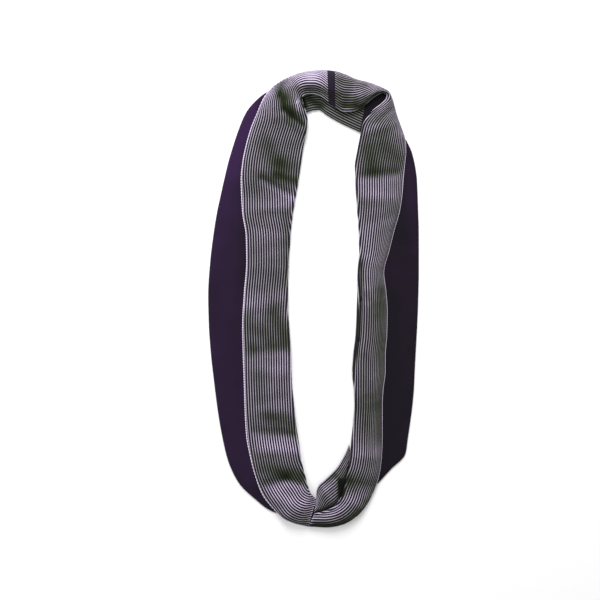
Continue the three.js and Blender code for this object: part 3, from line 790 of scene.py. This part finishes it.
def node(tree, kind, **settings):
    made = tree.nodes.new(kind)
    for key, value in settings.items():
        setattr(made, key, value)
    return made


def maths(tree, operation, a, b=None, clamp=False):
    """A Math node fed by sockets or numbers; returns its output."""
    made = node(tree, "ShaderNodeMath", operation=operation, use_clamp=clamp)
    for k, value in enumerate((a, b)):
        if value is None:
            continue
        if isinstance(value, (int, float)):
            made.inputs[k].default_value = value
        else:
            tree.links.new(value, made.inputs[k])
    return made.outputs[0]


def mixed(tree, factor, a, b):
    """A colour mix of sockets or colours; returns its output."""
    made = node(tree, "ShaderNodeMix", data_type="RGBA")
    for socket, value in ((made.inputs[0], factor), (made.inputs[6], a), (made.inputs[7], b)):
        if hasattr(value, "is_output"):
            tree.links.new(value, socket)
        else:
            socket.default_value = value
    return made.outputs[2]


def stitch_group():
    """Knit stitches: two legs leaning into a V in each wale, one row to each course."""
    old = bpy.data.node_groups.get("knit_stitches")
    if old:
        return old
    group = bpy.data.node_groups.new("knit_stitches", "ShaderNodeTree")
    socket_input(group, "Wales")
    socket_input(group, "Courses")
    group.interface.new_socket("Height", in_out="OUTPUT", socket_type="NodeSocketFloat")
    group.interface.new_socket("Gap", in_out="OUTPUT", socket_type="NodeSocketFloat")
    start = node(group, "NodeGroupInput")
    end = node(group, "NodeGroupOutput")
    wale = maths(group, "FRACT", start.outputs[0])
    side = maths(group, "ABSOLUTE", maths(group, "SUBTRACT", wale, 0.5))
    lean = maths(group, "MULTIPLY", side, 1.3)
    run = maths(group, "FRACT", maths(group, "ADD", start.outputs[1], lean))
    leg = maths(group, "SINE", maths(group, "MULTIPLY", run, math.pi))
    body = maths(group, "SINE", maths(group, "MULTIPLY", side, 2 * math.pi))
    body = maths(group, "POWER", maths(group, "MAXIMUM", body, 0.0), 0.6)
    height = maths(group, "MULTIPLY", maths(group, "POWER", leg, 0.7), body)
    group.links.new(height, end.inputs[0])
    gap = maths(group, "SUBTRACT", 1.0, height, clamp=True)
    group.links.new(gap, end.inputs[1])
    return group


def melange_group():
    """Uneven yarn: fine specks and slow drifts of tone over the cloth."""
    old = bpy.data.node_groups.get("yarn_melange")
    if old:
        return old
    group = bpy.data.node_groups.new("yarn_melange", "ShaderNodeTree")
    socket_input(group, "Place", "NodeSocketVector")
    group.interface.new_socket("Speck", in_out="OUTPUT", socket_type="NodeSocketFloat")
    group.interface.new_socket("Drift", in_out="OUTPUT", socket_type="NodeSocketFloat")
    start = node(group, "NodeGroupInput")
    end = node(group, "NodeGroupOutput")
    for k, (scale, detail) in enumerate(((700.0, 3.0), (14.0, 2.0))):
        grain = node(group, "ShaderNodeTexNoise")
        grain.inputs["Scale"].default_value = scale
        grain.inputs["Detail"].default_value = detail
        group.links.new(start.outputs[0], grain.inputs["Vector"])
        group.links.new(grain.outputs[0], end.inputs[k])
    return group


def use_group(tree, group, **links):
    made = node(tree, "ShaderNodeGroup")
    made.node_tree = group
    for name, value in links.items():
        socket = made.inputs[name]
        if isinstance(value, (int, float)):
            socket.default_value = value
        else:
            tree.links.new(value, socket)
    return made


def drifting_tone(tree, drift, amount, clamp=False):
    """The stored tone of painted light and shade, with the slow drift of the yarn's own tone."""
    tone = node(tree, "ShaderNodeAttribute", attribute_name="tone").outputs["Fac"]
    swing = maths(tree, "MULTIPLY", maths(tree, "SUBTRACT", drift, 0.5), amount)
    return maths(tree, "ADD", tone, swing, clamp=clamp)


def striped_colour(tree, across, courses, drift, look):
    """Colour of the striped face, with painted shade in its deep hollows, a tone past one. A
    light rib lies half way between whole numbers across; it narrows as the tone runs to the olive
    grey of painted shade."""
    zigzag = maths(tree, "SUBTRACT", maths(tree, "FRACT", courses), 0.5)
    tooth = maths(tree, "MULTIPLY", maths(tree, "ABSOLUTE", zigzag), RIB_TOOTH)
    shifted = maths(tree, "ADD", across, maths(tree, "SUBTRACT", tooth, RIB_TOOTH / 4))
    turn = maths(tree, "MULTIPLY", maths(tree, "ADD", shifted, 0.5), 2 * math.pi)
    turn = maths(tree, "COSINE", turn)
    tone = drifting_tone(tree, drift, STRIPED_DRIFT)
    share = maths(tree, "MULTIPLY", tone, look["shade_narrowing"])
    share = maths(tree, "SUBTRACT", look["share"], share)
    mask = maths(tree, "ADD", maths(tree, "MULTIPLY", turn, RIB_EDGE), share, clamp=True)
    # Painted light: a negative tone fills the dark ribs with the light colour
    mask = maths(tree, "MAXIMUM", mask, maths(tree, "MULTIPLY", tone, -PAINTED_LIGHT_FILL))
    # Painted shade: past a tone of one the cloth is dimmed as in a hollow
    hollow = maths(tree, "SUBTRACT", tone, 1.0, clamp=True)
    tone = maths(tree, "ADD", tone, 0.0, clamp=True)
    light = mixed(tree, tone, look["light"], look["shade"])
    dark = mixed(tree, tone, look["dark"], look["dark_shade"])
    return mixed(tree, mask, dark, light), hollow


def plain_colour(tree, drift, look):
    """Colour of the plain face: purple, darkening to the purple of painted shade as the tone
    rises.
    """
    tone = drifting_tone(tree, drift, PLAIN_DRIFT, clamp=True)
    return mixed(tree, tone, look["light"], look["dark"])


def knit_finish(tree, shader, speck, height, look):
    """Roughness, sheen and stitch relief of a knit."""
    rough = maths(tree, "MULTIPLY", speck, 1.0 - KNIT_ROUGHNESS)
    rough = maths(tree, "ADD", KNIT_ROUGHNESS, rough, clamp=True)
    tree.links.new(rough, shader.inputs["Roughness"])
    shader.inputs["Sheen Weight"].default_value = look["sheen"]
    shader.inputs["Sheen Roughness"].default_value = SHEEN_ROUGHNESS
    shader.inputs["Sheen Tint"].default_value = look["sheen_tint"]
    shader.inputs["Specular IOR Level"].default_value = KNIT_SPECULAR
    relief = maths(tree, "ADD", height, maths(tree, "MULTIPLY", speck, FUZZ))
    bump = node(tree, "ShaderNodeBump")
    bump.inputs["Strength"].default_value = look["bump"]
    bump.inputs["Distance"].default_value = STITCH_DEPTH
    tree.links.new(relief, bump.inputs["Height"])
    tree.links.new(bump.outputs[0], shader.inputs["Normal"])


def cloth_material(name, stripes, look):
    """A knit material. With stripes, across the cloth counts ribs; without, it is metres."""
    old = bpy.data.materials.get("cloth_" + name)
    if old:
        return old
    made = bpy.data.materials.new("cloth_" + name)
    made.use_nodes = True
    tree = made.node_tree
    tree.nodes.clear()
    out = node(tree, "ShaderNodeOutputMaterial")
    shader = node(tree, "ShaderNodeBsdfPrincipled")
    tree.links.new(shader.outputs[0], out.inputs[0])
    uv = node(tree, "ShaderNodeUVMap", uv_map="cloth")
    parts = node(tree, "ShaderNodeSeparateXYZ")
    tree.links.new(uv.outputs[0], parts.inputs[0])
    across, along = parts.outputs[0], parts.outputs[1]
    if "pitch" in look:
        across = maths(tree, "MULTIPLY", across, 1000.0 / look["pitch"])
    place = node(tree, "ShaderNodeTexCoord").outputs["Object"]
    yarn = use_group(tree, melange_group(), Place=place)
    speck, drift = yarn.outputs[0], yarn.outputs[1]
    courses = maths(tree, "MULTIPLY", along, 1000.0 / look["course"])
    wales = maths(tree, "MULTIPLY", across, look["wales"] if stripes else 1000.0 / look["wale"])
    stitch = use_group(tree, stitch_group(), Wales=wales, Courses=courses)
    height, gap = stitch.outputs[0], stitch.outputs[1]
    strength = maths(tree, "ADD", YARN_DULLEST, maths(tree, "MULTIPLY", speck, YARN_SPREAD))
    # Painted shade: the gaps between stitches are darkened
    deep = maths(tree, "SUBTRACT", 1.0, maths(tree, "MULTIPLY", gap, look["gap"]))
    strength = maths(tree, "MULTIPLY", strength, deep)
    if stripes:
        colour, hollow = striped_colour(tree, across, courses, drift, look)
        # Painted shade dims the cloth in hollows
        dim = maths(tree, "SUBTRACT", 1.0, maths(tree, "MULTIPLY", hollow, HOLLOW_SHADE_DIM))
        strength = maths(tree, "MULTIPLY", strength, dim)
    else:
        colour = plain_colour(tree, drift, look)
    scaled = node(tree, "ShaderNodeVectorMath", operation="SCALE")
    tree.links.new(colour, scaled.inputs[0])
    tree.links.new(strength, scaled.inputs["Scale"])
    tree.links.new(scaled.outputs[0], shader.inputs["Base Color"])
    knit_finish(tree, shader, speck, height, look)
    return made


def yarn_material():
    """The bright yarn of the selvedge."""
    old = bpy.data.materials.get("selvedge_yarn")
    if old:
        return old
    made = bpy.data.materials.new("selvedge_yarn")
    made.use_nodes = True
    tree = made.node_tree
    shader = tree.nodes["Principled BSDF"]
    place = node(tree, "ShaderNodeTexCoord").outputs["Object"]
    yarn = use_group(tree, melange_group(), Place=place)
    colour = mixed(tree, yarn.outputs[0], SELVEDGE, LILAC)
    tree.links.new(colour, shader.inputs["Base Color"])
    shader.inputs["Roughness"].default_value = 0.9
    shader.inputs["Sheen Weight"].default_value = 0.1
    bump = node(tree, "ShaderNodeBump")
    bump.inputs["Distance"].default_value = 0.0003
    tree.links.new(yarn.outputs[0], bump.inputs["Height"])
    tree.links.new(bump.outputs[0], shader.inputs["Normal"])
    return made


STRIPES = {
    "light": LILAC, "shade": SHADED_OLIVE_GREY, "dark": CHARCOAL, "dark_shade": SHADED_OLIVE_BLACK,
    "wales": 4.0, "course": 1.5, "share": -1.95, "shade_narrowing": 2.4, "gap": 0.3, "bump": 0.6,
    "sheen": 0.04, "sheen_tint": (0.8, 0.75, 0.9, 1.0),
}
PLAIN = {
    "light": PURPLE, "dark": PURPLE_SHADE, "wale": 1.1, "course": 1.4, "gap": 0.25,
    "bump": 0.35, "sheen": 0.07, "sheen_tint": (0.42, 0.24, 0.62, 1.0),
}
LOOKS = {
    "striped_knit": (True, STRIPES),
    "striped_below": (True, {**STRIPES, "pitch": LOWER_PITCH}),
    "shaded_knit": (True, {
        **STRIPES, "light": (0.34, 0.33, 0.36, 1.0), "shade": (0.09, 0.10, 0.07, 1.0),
        "dark": (0.006, 0.006, 0.005, 1.0), "share": -1.2, "shade_narrowing": 2.0, "sheen": 0.03,
    }),
    "plain_knit": (False, PLAIN),
    # The pocket painted all over in the purple of shade, without sheen
    "pocket_shade_knit": (False, {**PLAIN, "light": PURPLE_SHADE, "sheen": 0.0}),
    "join_knit": (False, {**PLAIN, "light": STRIP_PURPLE, "dark": PURPLE_SHADE, "bump": 0.45}),
}


def look(name):
    stripes, values = LOOKS[name]
    return cloth_material(name, stripes, values)


def settle(piece, name):
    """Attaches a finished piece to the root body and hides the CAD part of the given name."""
    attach(piece, "root")
    if name:
        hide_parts(name)


# Soft waves of a plain under layer: where it comes out from below the flap, as a share
# of its width, height in millimetres, and seed of the noise
LEFT_WAVES = {"free": 0.52, "rise": 1.8, "seed": 3.1}
RIGHT_WAVES = {"free": 0.52, "rise": 1.6, "seed": 8.4}
WAVE_SIZE = 0.11
WAVE_BLEND = 0.25
WAVE_FROM_EDGE = 9.0


def limbs_lift(side):
    """Soft waves of a plain under layer where no flap lies on it."""
    def lift(x, y, u, width):
        free = np.clip((u - side["free"] * width) / (WAVE_BLEND * width), 0, 1)
        edge = np.clip((width - u) / WAVE_FROM_EDGE, 0, 1)
        wave = 0.5 + 0.5 * soft_noise(x, y, WAVE_SIZE, side["seed"])
        return side["rise"] * free * edge * (2 - edge) * wave
    return lift


class ScarfSettings(bpy.types.PropertyGroup):
    """Sizes and counts of the scarf."""

    ribs: bpy.props.IntProperty(
        name="Ribs", description="Light ribs across the striped flap", default=24, min=6, max=40)
    pitch: bpy.props.FloatProperty(
        name="Rib pitch", description="Distance between ribs in millimetres", default=4.25, min=1)
    step: bpy.props.FloatProperty(
        name="Step", description="Spacing of cross sections in millimetres", default=3.5, min=1)
    per_rib: bpy.props.IntProperty(
        name="Points a rib", description="Mesh points across one rib", default=6, min=4, max=12)


class StageSettings(bpy.types.PropertyGroup):
    """Camera and light of the stage."""

    distance: bpy.props.FloatProperty(
        name="Distance", description="Height of the camera", default=2.83, subtype="DISTANCE")
    lens: bpy.props.FloatProperty(
        name="Lens", description="Focal length in millimetres", default=100.0)
    key: bpy.props.FloatProperty(
        name="Key light", description="Power of the main light in watts", default=54.0)
    fill: bpy.props.FloatProperty(
        name="Fill", description="Strength of the surrounding light", default=0.64)


# Flat size of each stretch of the flap, and what it lies on
FLAPS = {
    "left_flap": ((0.092, 0.80), ["left_under", "bottom_under"]),
    "arch_flap": ((0.063, 0.07), ["arch_under"]),
    "shoulder_flap": ((0.067, 0.17), ["arch_under", "turn_pocket"]),
    "right_flap": ((0.075, 0.59), ["right_under", "bottom_under"]),
    "bottom_flap": ((0.073, 0.10), ["bottom_under"]),
}

# Radius of the selvedge's teeth in millimetres
SELVEDGES = {"left_flap": 1.0, "right_flap": 0.4}


def flap_piece(name, settings, ribbed, slot):
    """Builds one stretch of the folded flap."""
    table = named(FLAP_COLUMNS, FLAP_ROWS)
    first, last = STRETCHES[name]
    rows = finer_rows(table, first, last, settings.step if ribbed else JOIN_STEP)
    runs = named(RUN_COLUMNS, RUN_ROWS)
    knots = row_places(table)[runs["row"].astype(int)]
    roll = along_curve(knots, runs["roll"], rows["place"])
    squeeze = along_curve(knots, runs["squeeze"], rows["place"])
    front, back, phases, along = flap_grids(
        rows, settings.ribs, settings.pitch, settings.per_rib, ribbed, roll, squeeze)
    across = phases if ribbed else phases * settings.pitch * MM
    piece = sheet_object(
        name + "_cloth", front, back, across, along, look(slot), look("plain_knit"))
    paint_light_and_shade(piece)
    return piece


def selvedge_piece(name, settings):
    """Builds the toothed edge of a stretch: a chain of small loops on its border."""
    first, last = STRETCHES[name]
    rows = finer_rows(named(FLAP_COLUMNS, FLAP_ROWS), first, last, TOOTH / TOOTH_ROWS)
    count = len(rows["place"])
    ox, oy = plan(rows["outer_x"], rows["outer_y"])
    ix, iy = plan(rows["inner_x"], rows["inner_y"])
    out = np.stack([ox - ix, oy - iy], axis=1)
    out /= np.linalg.norm(out, axis=1)[:, None]
    bm = bmesh.new()
    rings = []
    for k in range(count):
        wave = abs(math.sin(math.pi * rows["place"][k] / TOOTH))
        radius = SELVEDGES[name] * (TOOTH_WAIST + (1 - TOOTH_WAIST) * wave) * MM
        z = (max(rows["edge"][k], LIP) + TOOTH_LIFT) * MM
        ring = []
        for j in range(TOOTH_SIDES):
            turn = 2 * math.pi * j / TOOTH_SIDES
            reach = radius * math.cos(turn) + TOOTH_OUT * MM
            x, y = ox[k] + out[k, 0] * reach, oy[k] + out[k, 1] * reach
            ring.append(bm.verts.new((x, y, z + radius * math.sin(turn))))
        rings.append(ring)
    for a, b in zip(rings, rings[1:]):
        for j in range(TOOTH_SIDES):
            after = (j + 1) % TOOTH_SIDES
            bm.faces.new((a[j], a[after], b[after], b[j])).smooth = True
    bm.faces.new(rings[0])
    bm.faces.new(rings[-1])
    bmesh.ops.recalc_face_normals(bm, faces=bm.faces)
    mesh = bpy.data.meshes.new(name + "_selvedge")
    bm.to_mesh(mesh)
    bm.free()
    mesh.materials.append(yarn_material())
    made = bpy.data.objects.new(name + "_selvedge", mesh)
    bpy.context.scene.collection.objects.link(made)
    settle(made, None)
    return made


class SCARF_OT_flap(bpy.types.Operator):
    """Build the striped flap, stretch by stretch."""

    bl_idname = "scarf.flap"
    bl_label = "Striped flap"

    def execute(self, context):
        settings = context.scene.scarf
        for name, (flat, below) in FLAPS.items():
            piece = flap_piece(name, settings, True, "striped_knit")
            settle(piece, name)
            if name in SELVEDGES:
                selvedge_piece(name, settings)
        return {"FINISHED"}


class SCARF_OT_join(bpy.types.Operator):
    """Build the plain strip over the join."""

    bl_idname = "scarf.join"
    bl_label = "Join strip"

    def execute(self, context):
        piece = flap_piece("join_strip", context.scene.scarf, False, "join_knit")
        settle(piece, "join_strip")
        return {"FINISHED"}


class SCARF_OT_bulge(bpy.types.Operator):
    """Build the bulge between the bottom crease and the right folded edge."""

    bl_idname = "scarf.bulge"
    bl_label = "Bottom bulge"

    def execute(self, context):
        table = named(FLAP_COLUMNS, BULGE_ROWS)
        rows = finer_rows(table, 0, len(BULGE_ROWS) - 1, BULGE_STEP)
        none = np.zeros(len(rows["place"]))
        grids = flap_grids(
            rows, BULGE_RIBS, BULGE_PITCH, BULGE_POINTS_A_RIB, True, none, none)
        piece = sheet_object(
            "bottom_bulge_cloth", *grids, look("striped_knit"), look("plain_knit"))
        paint_light_and_shade(piece)
        settle(piece, "bottom_bulge")
        return {"FINISHED"}


class SCARF_OT_under(bpy.types.Operator):
    """Build the plain and striped under layers."""

    bl_idname = "scarf.under"
    bl_label = "Under layers"

    def execute(self, context):
        plain = (
            ("left_under", LEFT_UNDER_ROWS, LEFT_WAVES, (0.104, 0.78)),
            ("right_under", RIGHT_UNDER_ROWS, RIGHT_WAVES, (0.086, 0.60)),
            ("bottom_under", BOTTOM_UNDER_ROWS, None, (0.059, 0.12)),
            ("turn_pocket", POCKET_ROWS, None, (0.040, 0.056)),
        )
        for name, table, side, flat in plain:
            rows = finer_rows(named(LAYER_COLUMNS, table), 0, len(table) - 1, UNDER_STEP)
            grids = layer_grids(rows, UNDER_POINTS, limbs_lift(side) if side else None)
            face = look("pocket_shade_knit" if name == "turn_pocket" else "plain_knit")
            piece = sheet_object(name + "_cloth", *grids, face, look("striped_below"))
            paint_light_and_shade(piece, PLAIN_SHADE_TONES[name], PLAIN_SLOPE_LIGHT, PLAIN_PAINTED_SHADING)
            settle(piece, name)
        return {"FINISHED"}


class SCARF_OT_arch_under(bpy.types.Operator):
    """Build the striped under layer that shows below the top of the loop."""

    bl_idname = "scarf.arch_under"
    bl_label = "Arch under layer"

    def execute(self, context):
        table = named(LAYER_COLUMNS, ARCH_UNDER_ROWS)
        rows = finer_rows(table, 0, len(ARCH_UNDER_ROWS) - 1, ARCH_UNDER_STEP)
        front, back, across, along = layer_grids(rows, ARCH_UNDER_POINTS, None)
        phases = across / (LOWER_PITCH * MM)
        hollow = 0.5 + 0.5 * np.cos(2 * np.pi * phases)
        raised = np.clip((front[:, :, 2] - LIP * MM) / (2 * MM), 0, 1)
        front[:, :, 2] -= RIB_RISE * MM * hollow * raised
        knit = look("shaded_knit")
        piece = sheet_object("arch_under_cloth", front, back, phases, along, knit, knit)
        paint_light_and_shade(piece)
        settle(piece, "arch_under")
        return {"FINISHED"}


def aim(made, target):
    made.rotation_euler = (Vector(target) - made.location).to_track_quat("-Z", "Y").to_euler()


class SCARF_OT_stage(bpy.types.Operator):
    """Build the surface, the lights and the camera."""

    bl_idname = "scarf.stage"
    bl_label = "Stage"

    def execute(self, context):
        settings = context.scene.scarf_stage
        scene = context.scene
        mesh = bpy.data.meshes.new("surface")
        bm = bmesh.new()
        bmesh.ops.create_grid(bm, x_segments=8, y_segments=8, size=FLOOR_HALF)
        bm.to_mesh(mesh)
        bm.free()
        floor = bpy.data.objects.new("surface", mesh)
        for vertex in mesh.vertices:
            vertex.co.z = -FLOOR_DROP
        scene.collection.objects.link(floor)
        paint = bpy.data.materials.new("surface")
        paint.use_nodes = True
        shader = paint.node_tree.nodes["Principled BSDF"]
        shader.inputs["Base Color"].default_value = FLOOR
        shader.inputs["Roughness"].default_value = 0.9
        mesh.materials.append(paint)
        world = bpy.data.worlds.new("studio")
        world.use_nodes = True
        background = world.node_tree.nodes["Background"]
        background.inputs[0].default_value = (1.0, 1.0, 1.0, 1.0)
        background.inputs[1].default_value = settings.fill
        scene.world = world
        scene.view_settings.view_transform = "Standard"
        lights = (
            ("key", (-0.15, 1.9, 1.35), 1.1, settings.key, (1.0, 0.985, 1.0)),
            ("side", (-1.6, 0.2, 1.5), 1.2, settings.key * SIDE_SHARE, (0.96, 0.96, 1.0)),
        )
        for name, place, size, power, colour in lights:
            lamp = bpy.data.lights.new(name, "AREA")
            lamp.size = size
            lamp.energy = power
            lamp.color = colour
            made = bpy.data.objects.new(name, lamp)
            made.location = place
            aim(made, (0.0, 0.0, 0.0))
            scene.collection.objects.link(made)
        camera = bpy.data.cameras.new("camera")
        camera.lens = settings.lens
        camera.sensor_width = SENSOR_WIDTH
        made = bpy.data.objects.new("camera", camera)
        x, y = plan(*PHOTO_MIDDLE)
        made.location = (x, y, settings.distance)
        scene.collection.objects.link(made)
        scene.camera = made
        return {"FINISHED"}


class SCARF_PT_panel(bpy.types.Panel):
    """Sidebar panel with the scarf's steps."""

    bl_label = "Scarf"
    bl_idname = "SCARF_PT_panel"
    bl_space_type = "VIEW_3D"
    bl_region_type = "UI"
    bl_category = "Scarf"

    def draw(self, context):
        column = self.layout.column()
        for settings in (context.scene.scarf, context.scene.scarf_stage):
            for name in settings.bl_rna.properties.keys():
                if name not in ("rna_type", "name"):
                    column.prop(settings, name)
        for operator in OPERATORS:
            column.operator(operator.bl_idname)


OPERATORS = (
    SCARF_OT_flap,
    SCARF_OT_join,
    SCARF_OT_bulge,
    SCARF_OT_under,
    SCARF_OT_arch_under,
    SCARF_OT_stage,
)
CLASSES = (ScarfSettings, StageSettings) + OPERATORS + (SCARF_PT_panel,)


def register():
    for item in CLASSES:
        bpy.utils.register_class(item)
    bpy.types.Scene.scarf = bpy.props.PointerProperty(type=ScarfSettings)
    bpy.types.Scene.scarf_stage = bpy.props.PointerProperty(type=StageSettings)


def unregister():
    del bpy.types.Scene.scarf_stage
    del bpy.types.Scene.scarf
    for item in reversed(CLASSES):
        bpy.utils.unregister_class(item)


def main():
    register()
    bpy.ops.scarf.stage()
    bpy.ops.scarf.under()
    bpy.ops.scarf.arch_under()
    bpy.ops.scarf.flap()
    bpy.ops.scarf.join()
    bpy.ops.scarf.bulge()


if __name__ == "__main__":
    main()
